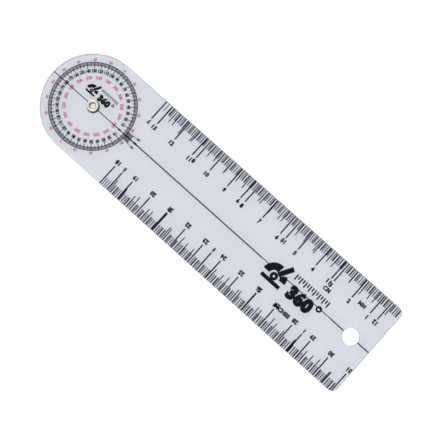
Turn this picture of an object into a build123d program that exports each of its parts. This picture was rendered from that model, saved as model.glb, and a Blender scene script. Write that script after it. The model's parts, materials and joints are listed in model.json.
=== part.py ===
from build123d import *
import os

# A 360-degree goniometer for measuring joint angles: two clear plastic arms of
# one outline, printed with rulers and a protractor, that turn on one hollow
# eyelet. It is modelled folded shut, at 0 degrees.
#
# Frame: millimetres, origin on the pivot axis, in the printed face of the base
# arm. +X runs along the folded arms to their free end, +Y to the centimetre
# edge of the base arm, +Z up out of the printed face to the reader.

# Driving dimensions of the two arms
arm_width = 45.2
arm_reach = 156.1  # pivot axis to the free end
sheet_thickness = 1.0
corner_radius = 3.0
edge_break = 0.15  # the softened edge that the die leaves
arm_gap = 0.12  # air between the two arms, so that the print isn't rubbed
hang_hole_radius = 3.75
hang_hole_inset = 10.0  # hole centre to the free end

# Driving dimensions of the eyelet and the washer that backs it
eyelet_bore_radius = 1.25
barrel_radius = 1.55
flange_radius = 2.5
flange_height = 0.6
flange_roll = 0.5  # outer rounding of the flange
flange_mouth = 0.65  # rounding into the bore from above
foot_radius = 2.35
foot_height = 0.45
foot_roll = 0.35
foot_mouth = 0.5
washer_radius = 2.9
washer_thickness = 0.2
running_clearance = 0.05  # radial, moving arm on the barrel
snug_clearance = 0.02  # radial, pieces that the eyelet clamps
flange_clearance = 0.03  # under the flange, so that the arm can turn

# Driving dimensions of the print
ink_thickness = 0.04
unit_line = 0.36  # the shortest ticks of the rulers
middle_line = 0.45  # ticks of middle length
number_line = 0.6  # ticks that carry a numeral
ring_line = 0.3
degree_line = 0.18
five_degree_line = 0.27
ten_degree_line = 0.34
pointer_line = 0.27
base_axis_line_width = 0.54
moving_axis_line_width = 0.4
mark_start = 97.0  # the base arm's axis line stops short of its printed mark
mark_end = 135.5
print_margin = 0.2  # plain strip between the print and a cut edge
inch = 25.4
centimetre = 10.0
scale_start = 0.4  # from the free end to the zero of the base arm's rulers
moving_scale_shift = 0.4  # how far the moving arm's rulers lie towards its free end

# Readings at the ends of the four rulers. The moving arm's rulers count on from
# the base arm's, as one long ruler, when the arms are opened to 180 degrees.
base_first_centimetre = 0.1  # the cut end stands for the zero, so it has no tick
base_last_centimetre = 13
base_first_inch = 1 / 16
base_last_inch = 5
moving_first_centimetre = 18
moving_last_centimetre = 31
moving_first_inch = 7
moving_last_inch = 12
sixteenths_past_last_inch = 3  # the inch ruler runs on a little past its last numeral

# Tick lengths, measured from the long edge of an arm
unit_tick = 4.1  # millimetres and sixteenths of an inch
quarter_tick = 6.1
half_centimetre_tick = 6.3
half_inch_tick = 7.2
numbered_tick = 9.9

# Protractor radii
ring_inner_radius = 17.8
ring_outer_radius = 19.1
five_degree_radius = 17.0
ten_degree_radius = 16.4
pointer_start_radius = 18.9
pointer_tick_end_radius = 22.1
pointer_side_end_radius = 23.3
pointer_span = 5  # degrees each side of the pointer's zero
protractor_ticks = [
    (ring_inner_radius, 360, degree_line),
    (five_degree_radius, 72, five_degree_line),
    (ten_degree_radius, 36, ten_degree_line),
]

# Levels and places worked out from the driving dimensions
half_width = arm_width / 2
base_underside = -sheet_thickness
moving_underside = arm_gap
moving_face = moving_underside + sheet_thickness
flange_underside = moving_face + flange_clearance
eyelet_top = flange_underside + flange_height
washer_underside = base_underside - washer_thickness
eyelet_bottom = washer_underside - foot_height
hang_hole_x = arm_reach - hang_hole_inset
ruler_zero = arm_reach - scale_start
print_end = arm_reach - print_margin
print_head_end = half_width - print_margin

os.makedirs("parts", exist_ok=True)


def save(part, name):
    """Label a finished piece and write it to its own file."""
    part.label = name
    export_step(part, f"parts/{name}.step")


def arm_outline(inset=0.0):
    """Full-round head about the pivot, straight sides and two rounded corners."""
    radius = half_width - inset
    length = arm_reach - inset
    with BuildSketch() as outline:
        Circle(radius)
        with Locations((length / 2, 0)):
            Rectangle(length, 2 * radius)
        free_end = outline.vertices().group_by(Axis.X)[-1]
        fillet(free_end, corner_radius - inset)
    return outline.sketch


def make_arm(underside, pivot_hole_radius):
    """One clear arm with its pivot hole and hang hole."""
    with BuildPart() as arm:
        with BuildSketch(Plane.XY.offset(underside)):
            add(arm_outline())
            Circle(pivot_hole_radius, mode=Mode.SUBTRACT)
            with Locations((hang_hole_x, 0)):
                Circle(hang_hole_radius, mode=Mode.SUBTRACT)
        extrude(amount=sheet_thickness)
        hang_hole_rims = arm.edges().filter_by(GeomType.CIRCLE).filter_by(
            lambda rim: abs(rim.radius - hang_hole_radius) < 0.01
        )
        straight_sides = arm.edges().filter_by(Axis.X)
        chamfer(hang_hole_rims + straight_sides, edge_break)  # runs on round the whole outline
    return arm.part


def tick_points(positions, side, tick_length):
    """Centres of ticks that start at one long edge: side is +1 or -1."""
    centre_y = side * (half_width - tick_length / 2)
    return [(x, centre_y) for x in positions]


def make_ruler(face, side, ruler):
    """Ticks along one long edge, cut off at the edge of the printed area."""
    with BuildPart() as print_film:
        with BuildSketch(Plane.XY.offset(face)):
            for tick_length, line_width, positions in ruler:
                with Locations(*tick_points(positions, side, tick_length)):
                    Rectangle(line_width, tick_length)
            add(arm_outline(print_margin), mode=Mode.INTERSECT)
        extrude(amount=ink_thickness)
    return print_film.part


def centimetre_ruler(first, last, place):
    """Tick groups of a centimetre ruler from first to last centimetre."""
    numbered = []
    halves = []
    units = []
    for step in range(round(first * 10), round(last * 10) + 1):
        x = place(step * centimetre / 10)
        if step % 10 == 0:
            numbered.append(x)
        elif step % 5 == 0:
            halves.append(x)
        else:
            units.append(x)
    return [
        (numbered_tick, number_line, numbered),
        (half_centimetre_tick, middle_line, halves),
        (unit_tick, unit_line, units),
    ]


def inch_ruler(first, last, place):
    """Tick groups of an inch ruler, in sixteenths, from first to last inch."""
    numbered = []
    halves = []
    quarters = []
    units = []
    for step in range(round(first * 16), round(last * 16) + 1):
        x = place(step * inch / 16)
        if step % 16 == 0:
            numbered.append(x)
        elif step % 8 == 0:
            halves.append(x)
        elif step % 4 == 0:
            quarters.append(x)
        else:
            units.append(x)
    return [
        (numbered_tick, number_line, numbered),
        (half_inch_tick, middle_line, halves),
        (quarter_tick, middle_line, quarters),
        (unit_tick, unit_line, units),
    ]


def from_base_end(reading):
    """Place of a reading on the base arm, whose rulers start at its free end."""
    return ruler_zero - reading


def from_opened_end(reading):
    """Place of a reading on the moving arm, counted from the base arm's zero as
    it lies when the arms are opened to 180 degrees."""
    return reading - ruler_zero + moving_scale_shift


# The two arms
base_arm = make_arm(base_underside, barrel_radius + snug_clearance)
save(base_arm, "base_arm")
moving_arm = make_arm(moving_underside, barrel_radius + running_clearance)
save(moving_arm, "moving_arm")

# The hollow eyelet: a barrel with a rolled flange on top and a rolled foot below
with BuildPart() as eyelet:
    with BuildSketch(Plane.XZ) as eyelet_section:
        with BuildLine():
            Polyline(
                (eyelet_bore_radius, eyelet_bottom),
                (foot_radius, eyelet_bottom),
                (foot_radius, washer_underside),
                (barrel_radius, washer_underside),
                (barrel_radius, flange_underside),
                (flange_radius, flange_underside),
                (flange_radius, eyelet_top),
                (eyelet_bore_radius, eyelet_top),
                close=True,
            )
        make_face()
        for end, mouth, roll in ((-1, flange_mouth, flange_roll), (0, foot_mouth, foot_roll)):
            inner_corner = eyelet_section.vertices().group_by(Axis.Y)[end].sort_by(Axis.X)[0]
            fillet(inner_corner, mouth)
            outer_corner = eyelet_section.vertices().group_by(Axis.Y)[end].sort_by(Axis.X)[-1]
            fillet(outer_corner, roll)
    revolve(axis=Axis.Z)
save(eyelet.part, "eyelet")

# The washer that spreads the eyelet's foot under the base arm
with BuildPart() as eyelet_washer:
    with BuildSketch(Plane.XY.offset(washer_underside)):
        Circle(washer_radius)
        Circle(barrel_radius + snug_clearance, mode=Mode.SUBTRACT)
    extrude(amount=washer_thickness)
    outer_rims = eyelet_washer.edges().filter_by(GeomType.CIRCLE).sort_by(SortBy.RADIUS)[-2:]
    fillet(outer_rims, washer_thickness / 3)
save(eyelet_washer.part, "eyelet_washer")

# The protractor printed round the pivot: two rings with a tick at each degree
# between them, and longer ticks inside them every five and ten degrees
with BuildPart() as protractor_graduations:
    with BuildSketch(Plane.XY):
        for ring_radius in (ring_outer_radius, ring_inner_radius):
            with BuildSketch():
                Circle(ring_radius + ring_line / 2)
                Circle(ring_radius - ring_line / 2, mode=Mode.SUBTRACT)
        for tick_start, count, line_width in protractor_ticks:
            tick_length = ring_outer_radius - tick_start
            with PolarLocations(tick_start + tick_length / 2, count):
                Rectangle(tick_length, line_width)
    extrude(amount=ink_thickness)
save(protractor_graduations.part, "protractor_graduations")

# The rulers on the base arm: centimetres on one long edge, inches on the other
base_centimetres = make_ruler(
    0, 1, centimetre_ruler(base_first_centimetre, base_last_centimetre, from_base_end)
)
save(base_centimetres, "base_centimetre_graduations")
base_inches = make_ruler(0, -1, inch_ruler(base_first_inch, base_last_inch, from_base_end))
save(base_inches, "base_inch_graduations")

# The rulers on the moving arm: inches over the base arm's centimetres, and
# centimetres over its inches
last_printed_inch = moving_last_inch + sixteenths_past_last_inch / 16
moving_inches = make_ruler(
    moving_face, 1, inch_ruler(moving_first_inch, last_printed_inch, from_opened_end)
)
save(moving_inches, "moving_inch_graduations")
moving_centimetres = make_ruler(
    moving_face, -1, centimetre_ruler(moving_first_centimetre, moving_last_centimetre, from_opened_end)
)
save(moving_centimetres, "moving_centimetre_graduations")

# The axis line of the base arm, from the protractor to the free end, with a
# break for the mark
base_line_start = ring_outer_radius + ring_line
with BuildPart() as base_axis_line:
    with BuildSketch(Plane.XY):
        for line_start, line_end in ((base_line_start, mark_start), (mark_end, print_end)):
            with Locations(((line_start + line_end) / 2, 0)):
                Rectangle(line_end - line_start, base_axis_line_width)
        with Locations((hang_hole_x, 0)):
            Circle(hang_hole_radius + print_margin, mode=Mode.SUBTRACT)
    extrude(amount=ink_thickness)
save(base_axis_line.part, "base_axis_line")

# The axis line of the moving arm, from the rim of its head past the eyelet to
# the free end
with BuildPart() as moving_axis_line:
    with BuildSketch(Plane.XY.offset(moving_face)):
        with Locations(((print_end - print_head_end) / 2, 0)):
            Rectangle(print_end + print_head_end, moving_axis_line_width)
        Circle(flange_radius + print_margin, mode=Mode.SUBTRACT)
        with Locations((hang_hole_x, 0)):
            Circle(hang_hole_radius + print_margin, mode=Mode.SUBTRACT)
    extrude(amount=ink_thickness)
save(moving_axis_line.part, "moving_axis_line")

# The pointer scale of the moving arm: a tick at each degree beside its axis
# line, with longer lines at both ends of the scale
pointer_degrees = [side * degree for side in (-1, 1) for degree in range(1, pointer_span + 1)]
with BuildPart() as pointer_graduations:
    with BuildSketch(Plane.XY.offset(moving_face)):
        for degree in pointer_degrees:
            at_end = abs(degree) == pointer_span
            tick_end = pointer_side_end_radius if at_end else pointer_tick_end_radius
            tick_length = tick_end - pointer_start_radius
            tick_middle = pointer_start_radius + tick_length / 2
            with PolarLocations(tick_middle, 1, start_angle=degree):
                Rectangle(tick_length, pointer_line)
    extrude(amount=ink_thickness)
save(pointer_graduations.part, "pointer_graduations")
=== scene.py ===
import json
import math

import bmesh
import bpy
import numpy as np
from mathutils import Matrix, Vector


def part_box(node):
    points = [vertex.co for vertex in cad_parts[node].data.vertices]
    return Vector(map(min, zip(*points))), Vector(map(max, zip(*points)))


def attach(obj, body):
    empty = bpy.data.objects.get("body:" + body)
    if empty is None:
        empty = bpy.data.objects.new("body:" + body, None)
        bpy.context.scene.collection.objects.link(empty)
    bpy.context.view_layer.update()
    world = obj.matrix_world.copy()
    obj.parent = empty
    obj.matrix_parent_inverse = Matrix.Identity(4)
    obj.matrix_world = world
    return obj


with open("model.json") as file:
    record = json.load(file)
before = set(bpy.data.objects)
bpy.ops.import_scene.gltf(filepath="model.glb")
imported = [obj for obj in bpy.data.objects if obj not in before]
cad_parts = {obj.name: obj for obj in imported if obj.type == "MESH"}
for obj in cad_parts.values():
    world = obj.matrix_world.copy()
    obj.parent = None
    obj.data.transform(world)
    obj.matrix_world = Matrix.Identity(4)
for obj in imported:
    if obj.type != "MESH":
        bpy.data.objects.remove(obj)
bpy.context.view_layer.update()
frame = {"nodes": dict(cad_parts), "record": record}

MM = 0.001
INCH = 25.4 * MM
CENTIMETRE = 10 * MM

# ---------------------------------------------------------------- the frame
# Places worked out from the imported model: the pivot axis is the origin, +X runs
# to the free end, +Y to the base arm's centimetre edge, +Z up to the reader.
CUT_END_PAST_ZERO = 0.4 * MM  # the base arm is cut this far beyond its rulers' zero
MOVING_SCALE_SHIFT = 0.4 * MM  # the moving arm's rulers are printed this far out
ARM_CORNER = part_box("base_arm")[1]
RULER_ZERO = ARM_CORNER.x - CUT_END_PAST_ZERO
MOVING_ZERO = RULER_ZERO - MOVING_SCALE_SHIFT
BASE_FACE = ARM_CORNER.z
MOVING_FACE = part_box("moving_arm")[1].z
INK_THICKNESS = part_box("base_axis_line")[1].z - BASE_FACE
FLOOR_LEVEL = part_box("eyelet")[0].z
FLANGE_RADIUS = 2.5 * MM

# ---------------------------------------------------------------- the camera
# A long lens from above, leaning a little to the free end and to the inch edge
# of the base arm, and rolled so that the arms run down to the right.
CAMERA_LENS = 85.0
CAMERA_DISTANCE = 0.4278
CAMERA_CLIP_START = 0.01
CAMERA_AIM = Vector((0.07005, 0.00012, 0.0006))
LEAN_TO_FREE_END = math.radians(4.1)
LEAN_TO_INCH_EDGE = math.radians(2.91)
ARM_ANGLE_IN_VIEW = math.radians(-41.98)


def make_camera():
    """The camera over the folded arms."""
    data = bpy.data.cameras.new("camera")
    data.lens = CAMERA_LENS
    data.clip_start = CAMERA_CLIP_START
    camera = bpy.data.objects.new("camera", data)
    bpy.context.scene.collection.objects.link(camera)
    away = Vector((math.tan(LEAN_TO_FREE_END), -math.tan(LEAN_TO_INCH_EDGE), 1)).normalized()
    image_up = Vector((math.sin(ARM_ANGLE_IN_VIEW), math.cos(ARM_ANGLE_IN_VIEW), 0))
    right = image_up.cross(away).normalized()
    up = away.cross(right)
    turn = Matrix((right, up, away)).transposed()
    camera.matrix_world = Matrix.Translation(CAMERA_AIM + away * CAMERA_DISTANCE) @ turn.to_4x4()
    bpy.context.scene.camera = camera


make_camera()


# ---------------------------------------------------------------- materials
def new_material(name):
    """An empty node material and its output node."""
    material = bpy.data.materials.new(name)
    material.use_nodes = True
    material.node_tree.nodes.clear()
    output = material.node_tree.nodes.new("ShaderNodeOutputMaterial")
    return material, output


def add_node(material, kind, **values):
    """A node with its plain properties set."""
    node = material.node_tree.nodes.new(kind)
    for key, value in values.items():
        setattr(node, key, value)
    return node


def link(material, source, target):
    """Joins one node's output to another's input."""
    material.node_tree.links.new(source, target)


def noise(material, scale, detail=2.0, roughness=0.5, stretch=(1, 1, 1)):
    """Noise in the part's own space; scale is in features per metre."""
    coordinates = add_node(material, "ShaderNodeTexCoord")
    mapping = add_node(material, "ShaderNodeMapping")
    mapping.inputs["Scale"].default_value = stretch
    texture = add_node(material, "ShaderNodeTexNoise")
    texture.inputs["Scale"].default_value = scale
    texture.inputs["Detail"].default_value = detail
    texture.inputs["Roughness"].default_value = roughness
    link(material, coordinates.outputs["Object"], mapping.inputs["Vector"])
    link(material, mapping.outputs["Vector"], texture.inputs["Vector"])
    return texture.outputs["Fac"]


def set_stops(node, stops):
    """Gives a colour ramp its (position, colour) stops."""
    elements = node.color_ramp.elements
    while len(elements) < len(stops):
        elements.new(0.5)
    for element, (position, colour) in zip(elements, stops):
        element.position = position
        element.color = (*colour, 1)


def ramp(material, source, *stops):
    """A colour ramp through (position, colour) stops."""
    node = add_node(material, "ShaderNodeValToRGB")
    set_stops(node, stops)
    link(material, source, node.inputs["Fac"])
    return node.outputs["Color"]


NOISE_LOW = 0.3  # noise seldom leaves this range
NOISE_HIGH = 0.7


def spread(material, source, low, high):
    """Noise stretched from its usual middle range to low..high."""
    node = add_node(material, "ShaderNodeMapRange")
    node.inputs["From Min"].default_value = NOISE_LOW
    node.inputs["From Max"].default_value = NOISE_HIGH
    node.inputs["To Min"].default_value = low
    node.inputs["To Max"].default_value = high
    link(material, source, node.inputs["Value"])
    return node.outputs["Result"]


def bump(material, height, distance, strength=1.0, below=None):
    """A bump of a real depth, laid over another bump if one is given."""
    node = add_node(material, "ShaderNodeBump")
    node.inputs["Distance"].default_value = distance
    node.inputs["Strength"].default_value = strength
    link(material, height, node.inputs["Height"])
    if below is not None:
        link(material, below, node.inputs["Normal"])
    return node.outputs["Normal"]


# Noise scales below are in features per metre, and depths in metres.
# The sheet's face. Each face passes this tint, so four stacked ones are bluer.
TINT_STOPS = ((0.3, (0.945, 0.951, 0.970)), (0.7, (0.950, 0.956, 0.974)))
HAZE_COLOUR = (0.66, 0.67, 0.76, 1)
HAZE_SHARE = 0.003
HEAD_ON_MIRROR = 0.038  # share of light mirrored straight on, as plastic does
GRAZING_POWER = 5.0  # how steeply the mirroring grows towards grazing angles
FACE_ROUGHNESS = (0.05, 0.11)
WAVE_SCALE, WAVE_DEPTH = 45, 0.00006
GRAIN_SCALE, GRAIN_DEPTH = 1400, 0.000003
TINT_SCALE = 60
SHEEN_SCALE = 300

# The cut edge. Its colour is painted shade: darker than the face it borders, darkest on the upright wall
# and paler on the bevels.
EDGE_SHADE_STOPS = ((0.3, (0.155, 0.16, 0.19)), (0.65, (0.41, 0.42, 0.46)))  # wall, bevel
EDGE_ROUGHNESS = 0.5
EDGE_SPECULAR = 0.2
EDGE_COVER = 0.52  # the rest shows what lies behind
FACE_UPRIGHTNESS = 0.95  # a surface tilted further than this counts as edge
CUT_SCALE, CUT_DEPTH = 900, 0.00002


def plastic_face(material):
    """What the flat of the sheet does: tints, hazes and mirrors."""
    gentle_wave = bump(material, noise(material, WAVE_SCALE, 1.0), WAVE_DEPTH)
    surface = bump(material, noise(material, GRAIN_SCALE, 3.0), GRAIN_DEPTH, 0.5, gentle_wave)

    tint = ramp(material, noise(material, TINT_SCALE, 2.0), *TINT_STOPS)
    window = add_node(material, "ShaderNodeBsdfTransparent")
    link(material, tint, window.inputs["Color"])

    haze = add_node(material, "ShaderNodeBsdfDiffuse")
    haze.inputs["Color"].default_value = HAZE_COLOUR
    link(material, surface, haze.inputs["Normal"])
    sheet = add_node(material, "ShaderNodeMixShader")
    sheet.inputs["Fac"].default_value = HAZE_SHARE
    link(material, window.outputs[0], sheet.inputs[1])
    link(material, haze.outputs[0], sheet.inputs[2])

    facing = add_node(material, "ShaderNodeLayerWeight")
    facing.inputs["Blend"].default_value = 0.5
    grazing = add_node(material, "ShaderNodeMath", operation="POWER")
    link(material, facing.outputs["Facing"], grazing.inputs[0])
    grazing.inputs[1].default_value = GRAZING_POWER
    mirror = add_node(material, "ShaderNodeMath", operation="MULTIPLY_ADD")
    link(material, grazing.outputs[0], mirror.inputs[0])
    mirror.inputs[1].default_value = 1.0 - HEAD_ON_MIRROR
    mirror.inputs[2].default_value = HEAD_ON_MIRROR
    gloss = add_node(material, "ShaderNodeBsdfGlossy")
    gloss.inputs["Color"].default_value = (1, 1, 1, 1)
    roughness = spread(material, noise(material, SHEEN_SCALE, 4.0), *FACE_ROUGHNESS)
    link(material, roughness, gloss.inputs["Roughness"])
    link(material, surface, gloss.inputs["Normal"])
    face = add_node(material, "ShaderNodeMixShader")
    link(material, mirror.outputs[0], face.inputs["Fac"])
    link(material, sheet.outputs[0], face.inputs[1])
    link(material, gloss.outputs[0], face.inputs[2])
    return face


def plastic_edge(material, uprightness):
    """What the cut edge does: a frosted wall coloured with painted shade, paler on the bevels, half
    see-through.
    """
    edge = add_node(material, "ShaderNodeBsdfPrincipled")
    # painted shade: the edge is coloured darker the more upright its surface stands
    link(material, ramp(material, uprightness, *EDGE_SHADE_STOPS), edge.inputs["Base Color"])
    edge.inputs["Roughness"].default_value = EDGE_ROUGHNESS
    edge.inputs["Specular IOR Level"].default_value = EDGE_SPECULAR
    cut_marks = bump(material, noise(material, CUT_SCALE, 3.0, stretch=(1, 1, 8)), CUT_DEPTH)
    link(material, cut_marks, edge.inputs["Normal"])

    beyond = add_node(material, "ShaderNodeBsdfTransparent")
    painted_shade_edge = add_node(material, "ShaderNodeMixShader")
    painted_shade_edge.inputs["Fac"].default_value = EDGE_COVER
    link(material, beyond.outputs[0], painted_shade_edge.inputs[1])
    link(material, edge.outputs[0], painted_shade_edge.inputs[2])
    return painted_shade_edge


def clear_plastic():
    """Clear flexible sheet: faces that pass light, and cut edges coloured with painted shade."""
    material, output = new_material("clear_plastic")
    face = plastic_face(material)

    geometry = add_node(material, "ShaderNodeNewGeometry")
    parts = add_node(material, "ShaderNodeSeparateXYZ")
    link(material, geometry.outputs["True Normal"], parts.inputs[0])
    upright = add_node(material, "ShaderNodeMath", operation="ABSOLUTE")
    link(material, parts.outputs["Z"], upright.inputs[0])
    edge = plastic_edge(material, upright.outputs[0])

    is_edge = add_node(material, "ShaderNodeMath", operation="LESS_THAN")
    link(material, upright.outputs[0], is_edge.inputs[0])
    is_edge.inputs[1].default_value = FACE_UPRIGHTNESS
    whole = add_node(material, "ShaderNodeMixShader")
    link(material, is_edge.outputs[0], whole.inputs["Fac"])
    link(material, face.outputs[0], whole.inputs[1])
    link(material, edge.outputs[0], whole.inputs[2])
    link(material, whole.outputs[0], output.inputs["Surface"])
    return material


INK_FULL_BELOW = 0.35  # noise under this is full cover
INK_THIN_ABOVE = 0.72  # noise over this is thin cover
INK_SPECULAR = 0.1
INK_ROUGHNESS = (0.38, 0.55)
INK_SCALE, INK_DEPTH = 2200, 0.000006
INK_SHEEN_SCALE = 900


def printed_ink(name, thin_colour, full_colour):
    """Screen-printing ink: a satin film, a little uneven in cover."""
    material, output = new_material(name)
    shader = add_node(material, "ShaderNodeBsdfPrincipled")
    cover = noise(material, INK_SCALE, 3.0)
    colour = ramp(material, cover, (INK_FULL_BELOW, full_colour), (INK_THIN_ABOVE, thin_colour))
    link(material, colour, shader.inputs["Base Color"])
    shader.inputs["Specular IOR Level"].default_value = INK_SPECULAR
    roughness = spread(material, noise(material, INK_SHEEN_SCALE, 2.0), *INK_ROUGHNESS)
    link(material, roughness, shader.inputs["Roughness"])
    link(material, bump(material, cover, INK_DEPTH), shader.inputs["Normal"])
    link(material, shader.outputs[0], output.inputs["Surface"])
    return material


BRIGHT_PLATING = ((0.35, (0.90, 0.87, 0.70)), (0.65, (0.97, 0.95, 0.82)))
# The dull plating is painted shade, used down the bore and at the rim
SHADED_PLATING = ((0.35, (0.16, 0.14, 0.08)), (0.65, (0.24, 0.21, 0.13)))
PLATING_ROUGHNESS = (0.26, 0.40)
WEAR_SCALE = 1500
POLISH_SCALE, POLISH_DEPTH = 5000, 0.000004
# Painted light and shade at a share of the flange's radius: painted shade down the bore,
# a painted highlight on the crest of the roll and painted shade again at the rim
EYELET_LIGHT_AND_SHADE = [(0.56, (0, 0, 0)), (0.68, (1, 1, 1)), (0.92, (1, 1, 1)), (1.0, (0.6, 0.6, 0.6))]


def plated_metal():
    """Pale brass plating with light wear, with painted brown shade down in the bore and at the rim, and
    a painted highlight on the crest.
    """
    material, output = new_material("plated_metal")
    shader = add_node(material, "ShaderNodeBsdfPrincipled")
    shader.inputs["Metallic"].default_value = 1.0
    wear = noise(material, WEAR_SCALE, 4.0, 0.6)
    bright = ramp(material, wear, *BRIGHT_PLATING)
    shaded = ramp(material, wear, *SHADED_PLATING)

    coordinates = add_node(material, "ShaderNodeTexCoord")
    flat = add_node(material, "ShaderNodeVectorMath", operation="MULTIPLY")
    link(material, coordinates.outputs["Object"], flat.inputs[0])
    flat.inputs[1].default_value = (1, 1, 0)
    radius = add_node(material, "ShaderNodeVectorMath", operation="LENGTH")
    link(material, flat.outputs["Vector"], radius.inputs[0])
    outward = add_node(material, "ShaderNodeMapRange")
    outward.inputs["From Max"].default_value = FLANGE_RADIUS
    link(material, radius.outputs["Value"], outward.inputs["Value"])
    # painted light and shade: the dark copy of the plating down the bore and at the rim, the bright copy
    # on the crest
    light_and_shade = ramp(material, outward.outputs["Result"], *EYELET_LIGHT_AND_SHADE)
    plating = add_node(material, "ShaderNodeMixRGB")
    link(material, light_and_shade, plating.inputs["Fac"])
    link(material, shaded, plating.inputs["Color1"])
    link(material, bright, plating.inputs["Color2"])
    link(material, plating.outputs["Color"], shader.inputs["Base Color"])

    link(material, spread(material, wear, *PLATING_ROUGHNESS), shader.inputs["Roughness"])
    fine = bump(material, noise(material, POLISH_SCALE, 2.0, stretch=(1, 1, 4)), POLISH_DEPTH)
    link(material, fine, shader.inputs["Normal"])
    link(material, shader.outputs[0], output.inputs["Surface"])
    return material


CLEAR = clear_plastic()
# The fine lines are a little paler than the lettering
LINE_INK = printed_ink("dark_line_ink", (0.012, 0.013, 0.044), (0.006, 0.006, 0.026))
DARK_INK = printed_ink("dark_ink", (0.003, 0.003, 0.010), (0.001, 0.001, 0.006))
PINK_INK = printed_ink("pink_ink", (0.69, 0.255, 0.47), (0.625, 0.19, 0.405))
METAL = plated_metal()

SLOT_MATERIALS = {
    "clear_plastic": CLEAR,
    "dark_ink": LINE_INK,
    "eyelet_metal": METAL,
}
for subpart in frame["record"]["subparts"]:
    piece = frame["nodes"][subpart["node"]]
    piece.data.materials.clear()
    piece.data.materials.append(SLOT_MATERIALS[subpart["material_slot"]])


# ---------------------------------------------------------------- the print
NARROW = 0.93  # width of the condensed lettering, as a share of the font's own
BOLDNESS = 0.073  # how far each stroke is thickened, as a share of the font's size
WELD_DISTANCE = 1e-7  # corners nearer than this are one


class Print:
    """Collects flat printed shapes for one piece, at one level."""

    def __init__(self, face):
        self.mesh = bmesh.new()
        self.level = face + INK_THICKNESS / 2

    def place(self, mesh, x, y, turn):
        """Adds a mesh whose middle goes to x, y, turned anticlockwise in degrees."""
        rotation = Matrix.Rotation(math.radians(turn), 4, "Z")
        mesh.transform(Matrix.Translation((x, y, self.level)) @ rotation)
        self.mesh.from_mesh(mesh)
        bpy.data.meshes.remove(mesh)

    def words(self, text, x, y, height, turn=0.0, narrow=NARROW, boldness=BOLDNESS):
        """Text with its middle at x, y and its capitals height tall."""
        self.place(text_mesh(text, height, narrow, boldness), x, y, turn)

    def outline(self, points):
        """A filled flat shape with straight sides, INK_THICKNESS thick."""
        half = INK_THICKNESS / 2
        low = [self.mesh.verts.new((x, y, self.level - half)) for x, y in points]
        high = [self.mesh.verts.new((x, y, self.level + half)) for x, y in points]
        self.mesh.faces.new(high)
        self.mesh.faces.new(list(reversed(low)))
        for this in range(len(points)):
            following = (this + 1) % len(points)
            self.mesh.faces.new((low[this], low[following], high[following], high[this]))

    def box(self, left, low, right, high):
        """A filled upright rectangle."""
        self.outline([(left, low), (right, low), (right, high), (left, high)])

    def band(self, x, y, inner, outer, start=0.0, end=360.0, steps=96):
        """A flat ring or part of one about x, y, from start to end in degrees."""
        full = abs(end - start) >= 360
        count = max(3, round(steps * abs(end - start) / 360))
        stations = count if full else count + 1
        half = INK_THICKNESS / 2
        rows = []
        for station in range(stations):
            angle = math.radians(start + (end - start) * station / count)
            cosine, sine = math.cos(angle), math.sin(angle)
            rows.append([
                self.mesh.verts.new((x + radius * cosine, y + radius * sine, self.level + side * half))
                for radius, side in ((inner, -1), (outer, -1), (outer, 1), (inner, 1))
            ])
        for station in range(count):
            near, far = rows[station], rows[(station + 1) % len(rows)]
            for corner in range(4):
                following = (corner + 1) % 4
                self.mesh.faces.new((near[corner], near[following], far[following], far[corner]))
        if not full:
            self.mesh.faces.new(list(reversed(rows[0])))
            self.mesh.faces.new(rows[-1])

    def finish(self, name, body, material):
        """Turns what was collected into a piece that rides on a body."""
        data = bpy.data.meshes.new(name)
        bmesh.ops.remove_doubles(self.mesh, verts=self.mesh.verts, dist=WELD_DISTANCE)
        bmesh.ops.recalc_face_normals(self.mesh, faces=self.mesh.faces)
        self.mesh.to_mesh(data)
        self.mesh.free()
        data.materials.append(material)
        piece = bpy.data.objects.new(name, data)
        bpy.context.scene.collection.objects.link(piece)
        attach(piece, body)


def text_mesh(text, height, narrow, boldness):
    """A mesh of the text, centred on its own middle, INK_THICKNESS thick."""
    curve = bpy.data.curves.new("lettering", "FONT")
    curve.body = text
    curve.size = 1.0
    curve.offset = boldness
    curve.space_character = 1.0 + boldness
    curve.resolution_u = 4
    curve.extrude = 0.5
    holder = bpy.data.objects.new("lettering", curve)
    bpy.context.scene.collection.objects.link(holder)
    bpy.context.view_layer.update()
    mesh = bpy.data.meshes.new_from_object(holder.evaluated_get(bpy.context.evaluated_depsgraph_get()))
    bpy.data.objects.remove(holder)
    bpy.data.curves.remove(curve)
    corners = np.empty(len(mesh.vertices) * 3, np.float32)
    mesh.vertices.foreach_get("co", corners)
    corners = corners.reshape(-1, 3)
    low, high = corners.min(0), corners.max(0)
    middle = (low + high) / 2
    up_scale = height / (high[1] - low[1])
    scale = Matrix.Diagonal((up_scale * narrow, up_scale, INK_THICKNESS, 1))
    mesh.transform(scale @ Matrix.Translation(-Vector(middle.tolist())))
    return mesh


# Ruler numerals: their height, and the line across the arm that each row is centred on
RULER_HEIGHT = 2.15 * MM
BASE_INCH_HEIGHT = 0.9 * RULER_HEIGHT
BASE_CM_Y = 10.65 * MM
BASE_INCH_Y = -11.1 * MM
MOVING_INCH_Y = 11.1 * MM
MOVING_CM_Y = -10.8 * MM
UPSIDE_DOWN = 180

# Rulers of the base arm, read from its free end
sheet = Print(BASE_FACE)
for number in range(1, 14):
    sheet.words(str(number), RULER_ZERO - number * CENTIMETRE, BASE_CM_Y, RULER_HEIGHT)
sheet.finish("base_centimetre_numerals", "base", DARK_INK)

sheet = Print(BASE_FACE)
for number in range(1, 6):
    sheet.words(str(number), RULER_ZERO - number * INCH, BASE_INCH_Y, BASE_INCH_HEIGHT)
sheet.finish("base_inch_numerals", "base", DARK_INK)

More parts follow.
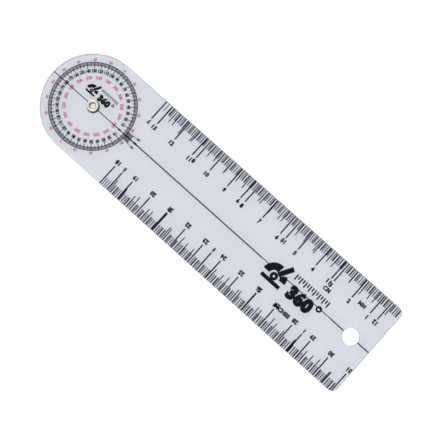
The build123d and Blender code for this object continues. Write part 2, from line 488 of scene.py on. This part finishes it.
# Unit words: distance from the zero, distance across, height, narrowness, boldness
UNIT_WORDS = {
    "CM": (3 * CENTIMETRE, 8.2 * MM, 2.05 * MM, 0.93, 0.06),
    "MM": (1.48 * CENTIMETRE, 13.2 * MM, 1.9 * MM, 0.98, 0.07),
    "INCHES": (1.5 * INCH, -11.2 * MM, 2.05 * MM, 0.97, 0.075),
}
sheet = Print(BASE_FACE)
for word, (from_zero, across, height, narrow, boldness) in UNIT_WORDS.items():
    sheet.words(word, RULER_ZERO - from_zero, across, height, 0, narrow, boldness)
sheet.finish("unit_words", "base", DARK_INK)

# Rulers of the moving arm, which read on from the base arm's when it is opened
# to 180 degrees, so they are upside down while it is folded
sheet = Print(MOVING_FACE)
for number in range(7, 13):
    x = number * INCH - MOVING_ZERO
    sheet.words(str(number), x, MOVING_INCH_Y, RULER_HEIGHT, UPSIDE_DOWN)
sheet.finish("moving_inch_numerals", "moving_arm", DARK_INK)

sheet = Print(MOVING_FACE)
for number in range(18, 32):
    x = number * CENTIMETRE - MOVING_ZERO
    sheet.words(str(number), x, MOVING_CM_Y, RULER_HEIGHT, UPSIDE_DOWN)
sheet.finish("moving_centimetre_numerals", "moving_arm", DARK_INK)


def round_numerals(sheet, radius, height, readings, narrow=NARROW):
    """Numerals round the pivot that face outwards; an angle of 0 is at +X."""
    for angle, number in readings:
        turn = math.radians(angle)
        x, y = radius * math.cos(turn), radius * math.sin(turn)
        sheet.words(str(number), x, y, height, angle - 90, narrow)


# Half-circle scale: 0 at the pointer, counting up to 180 opposite it both ways
HALF_CIRCLE_RADIUS = 15.35 * MM
HALF_CIRCLE_HEIGHT = 1.7 * MM
HALF_CIRCLE_NARROW = 0.72
sheet = Print(BASE_FACE)
half_circle = [(angle, min(angle, 360 - angle)) for angle in range(0, 360, 10)]
round_numerals(sheet, HALF_CIRCLE_RADIUS, HALF_CIRCLE_HEIGHT, half_circle, HALF_CIRCLE_NARROW)
sheet.finish("protractor_numerals", "base", DARK_INK)

# Reflex scale: 360 at the pointer, counting down to 180 opposite it both ways
REFLEX_RADIUS = 12.4 * MM
REFLEX_HEIGHT = 1.55 * MM
REFLEX_NARROW = 0.9
sheet = Print(BASE_FACE)
reflex = [(angle, 180 + abs(180 - angle)) for angle in range(0, 360, 20)]
round_numerals(sheet, REFLEX_RADIUS, REFLEX_HEIGHT, reflex, REFLEX_NARROW)
sheet.finish("reflex_numerals", "base", PINK_INK)

# Quadrant scale: 0 square to the arm on each side, counting up to 80 either way
QUADRANT_RADIUS = 20.2 * MM
QUADRANT_HEIGHT = 1.35 * MM
QUADRANT_NARROW = 0.92
sheet = Print(BASE_FACE)
quadrants = [(angle, abs(90 - angle % 180)) for angle in range(10, 360, 20)]
round_numerals(sheet, QUADRANT_RADIUS, QUADRANT_HEIGHT, quadrants, QUADRANT_NARROW)
sheet.finish("quadrant_numerals", "base", PINK_INK)

POINTER_RADIUS = 24.6 * MM
POINTER_HEIGHT = 1.65 * MM
POINTER_READINGS = [(-5, 5), (0, 0), (5, 5)]  # angle, number
sheet = Print(MOVING_FACE)
round_numerals(sheet, POINTER_RADIUS, POINTER_HEIGHT, POINTER_READINGS)
sheet.finish("pointer_numerals", "moving_arm", DARK_INK)

# A plain mark in place of the maker's: an opened pair of arms over a half
# protractor, a short scale, and the range in degrees. It is 30 units wide, and
# these are its measures in units from its left end and its foot.
MARK_UNITS = 30
HUB_X, HUB_Y = 5, 2.7
HUB_RING = (0.5, 1.8)  # inner and outer radius
HALF_PROTRACTOR = (2.6, 5.8)
PROTRACTOR_SPANS = ((0, 38), (82, 180))  # degrees, parted where the raised arm lies
LEVEL_ARM = (0, -0.6, 10, 1.1)  # left, low, right, high
RAISED_ARM_ANGLE = 60
RAISED_ARM_REACH = (1.9, 9.0)
RAISED_ARM_HALF_WIDTH = 1.1
SCALE_LEFT = 12.0
SCALE_TICKS = 15
SCALE_PITCH = 1.25
SCALE_TICK_WIDTH = 0.62
SCALE_TOP = 10.2
LONG_TICK_FOOT, SHORT_TICK_FOOT = 7.3, 8.4
RANGE_X, RANGE_Y = 19.6, 2.7
RANGE_HEIGHT = 6.9
RANGE_BOLDNESS = 0.09
DEGREE_X, DEGREE_Y = 28.2, 4.9
DEGREE_RING = (0.6, 1.4)


def angle_mark(sheet, left, bottom, width):
    """The mark, with its lower left corner at left, bottom."""
    unit = width / MARK_UNITS
    hub = Vector((left + HUB_X * unit, bottom + HUB_Y * unit))
    sheet.band(hub.x, hub.y, HUB_RING[0] * unit, HUB_RING[1] * unit)
    arm_left, arm_low, arm_right, arm_high = LEVEL_ARM
    sheet.box(
        left + arm_left * unit, bottom + arm_low * unit,
        left + arm_right * unit, bottom + arm_high * unit,
    )
    for start, end in PROTRACTOR_SPANS:
        sheet.band(hub.x, hub.y, HALF_PROTRACTOR[0] * unit, HALF_PROTRACTOR[1] * unit, start, end)

    raised = math.radians(RAISED_ARM_ANGLE)
    along = Vector((math.cos(raised), math.sin(raised)))
    across = Vector((-along.y, along.x)) * RAISED_ARM_HALF_WIDTH * unit
    near, far = (hub + along * reach * unit for reach in RAISED_ARM_REACH)
    sheet.outline([tuple(near - across), tuple(far - across), tuple(far + across), tuple(near + across)])

    for tick in range(SCALE_TICKS):
        tick_left = left + (SCALE_LEFT + tick * SCALE_PITCH) * unit
        foot = SHORT_TICK_FOOT if tick % 2 else LONG_TICK_FOOT
        tick_right = tick_left + SCALE_TICK_WIDTH * unit
        sheet.box(tick_left, bottom + foot * unit, tick_right, bottom + SCALE_TOP * unit)

    range_x, range_y = left + RANGE_X * unit, bottom + RANGE_Y * unit
    sheet.words("360", range_x, range_y, RANGE_HEIGHT * unit, 0, 1.0, RANGE_BOLDNESS)
    degree_x, degree_y = left + DEGREE_X * unit, bottom + DEGREE_Y * unit
    sheet.band(degree_x, degree_y, DEGREE_RING[0] * unit, DEGREE_RING[1] * unit)


sheet = Print(BASE_FACE)
angle_mark(sheet, left=100.6 * MM, bottom=-5.2 * MM, width=30 * MM)
sheet.finish("arm_mark", "base", DARK_INK)

sheet = Print(BASE_FACE)
angle_mark(sheet, left=-7.4 * MM, bottom=3.4 * MM, width=14.6 * MM)
sheet.finish("head_mark", "base", DARK_INK)

# ---------------------------------------------------------------- the stage
FLOOR_REACH = 3.0
FLOOR_COLOUR = (0.30, 0.30, 0.30, 1)
FLOOR_GLOW = 0.75  # the white of a lit table, which shows in the holes


def make_floor():
    """A plain white floor under the eyelet's foot."""
    data = bpy.data.meshes.new("floor")
    corners = [
        (x * FLOOR_REACH, y * FLOOR_REACH, FLOOR_LEVEL)
        for x, y in ((-1, -1), (1, -1), (1, 1), (-1, 1))
    ]
    data.from_pydata(corners, [], [(0, 1, 2, 3)])
    floor = bpy.data.objects.new("floor", data)
    bpy.context.scene.collection.objects.link(floor)
    material, output = new_material("floor")
    paper = add_node(material, "ShaderNodeBsdfDiffuse")
    paper.inputs["Color"].default_value = FLOOR_COLOUR
    glow = add_node(material, "ShaderNodeEmission")
    glow.inputs["Strength"].default_value = FLOOR_GLOW
    both = add_node(material, "ShaderNodeAddShader")
    link(material, paper.outputs[0], both.inputs[0])
    link(material, glow.outputs[0], both.inputs[1])
    link(material, both.outputs[0], output.inputs["Surface"])
    data.materials.append(material)


def make_light(name, place, size, power):
    """A square soft light aimed at the arms."""
    data = bpy.data.lights.new(name, "AREA")
    data.shape = "SQUARE"
    data.size = size
    data.energy = power
    light = bpy.data.objects.new(name, data)
    bpy.context.scene.collection.objects.link(light)
    light.location = place
    light.rotation_euler = (Vector(place) - CAMERA_AIM).to_track_quat("Z", "Y").to_euler()


DOME_GREYS = [(0.0, 0.2), (0.3, 0.35), (0.45, 1.0), (0.86, 1.0), (0.945, 0.02)]  # height, grey
DOME_STRENGTH = 1.45


def make_world():
    """A studio dome: dark straight overhead, white halfway up, grey at the horizon."""
    world = bpy.data.worlds.new("studio")
    world.use_nodes = True
    nodes, links = world.node_tree.nodes, world.node_tree.links
    nodes.clear()
    coordinates = nodes.new("ShaderNodeTexCoord")
    parts = nodes.new("ShaderNodeSeparateXYZ")
    shade = nodes.new("ShaderNodeValToRGB")
    set_stops(shade, [(height, (grey, grey, grey)) for height, grey in DOME_GREYS])
    background = nodes.new("ShaderNodeBackground")
    background.inputs["Strength"].default_value = DOME_STRENGTH
    output = nodes.new("ShaderNodeOutputWorld")
    links.new(coordinates.outputs["Generated"], parts.inputs[0])
    links.new(parts.outputs["Z"], shade.inputs["Fac"])
    links.new(shade.outputs["Color"], background.inputs["Color"])
    links.new(background.outputs[0], output.inputs["Surface"])
    bpy.context.scene.world = world


make_floor()
make_world()
make_light("key", place=(1.2, -0.95, 1.15), size=1.0, power=8.0)
make_light("fill", place=(-1.15, 1.1, 0.95), size=1.0, power=4.0)
bpy.context.scene.view_settings.view_transform = "Standard"
